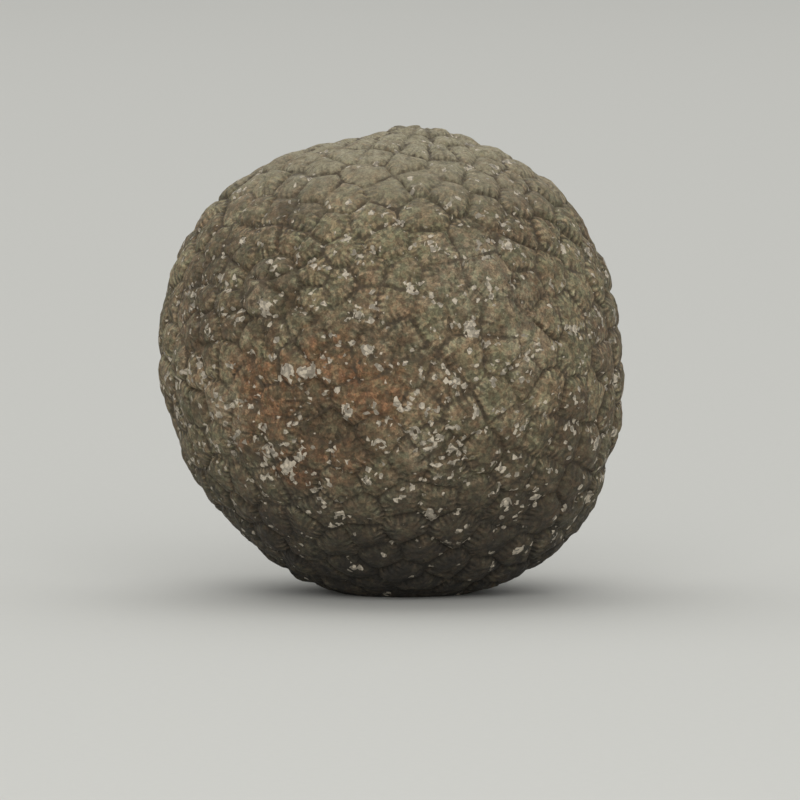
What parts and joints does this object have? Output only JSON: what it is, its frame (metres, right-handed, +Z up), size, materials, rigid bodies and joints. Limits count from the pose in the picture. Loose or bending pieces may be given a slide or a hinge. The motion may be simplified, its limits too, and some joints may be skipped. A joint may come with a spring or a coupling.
{
  "type": "fossil cystoid",
  "caption": "Globular fossil cystoid: the stone theca of an extinct echinoderm, covered in small polygonal plates, standing on its worn flat base.",
  "frame": {"origin": "middle of the footprint of the bounding box, on the plane the fossil stands on", "axes": "+Z up through the mouth, -Y the front seen in the picture, +X to the right of that view"},
  "size_m": [0.0371, 0.0368, 0.0374],
  "materials": {
    "fossil_stone": "weathered grey-brown calcite, matt and granular, with rusty stains and pale glints"
  },
  "bodies": {
    "root": {"cystoid_theca": "fossil_stone"}
  },
  "joints": []
}
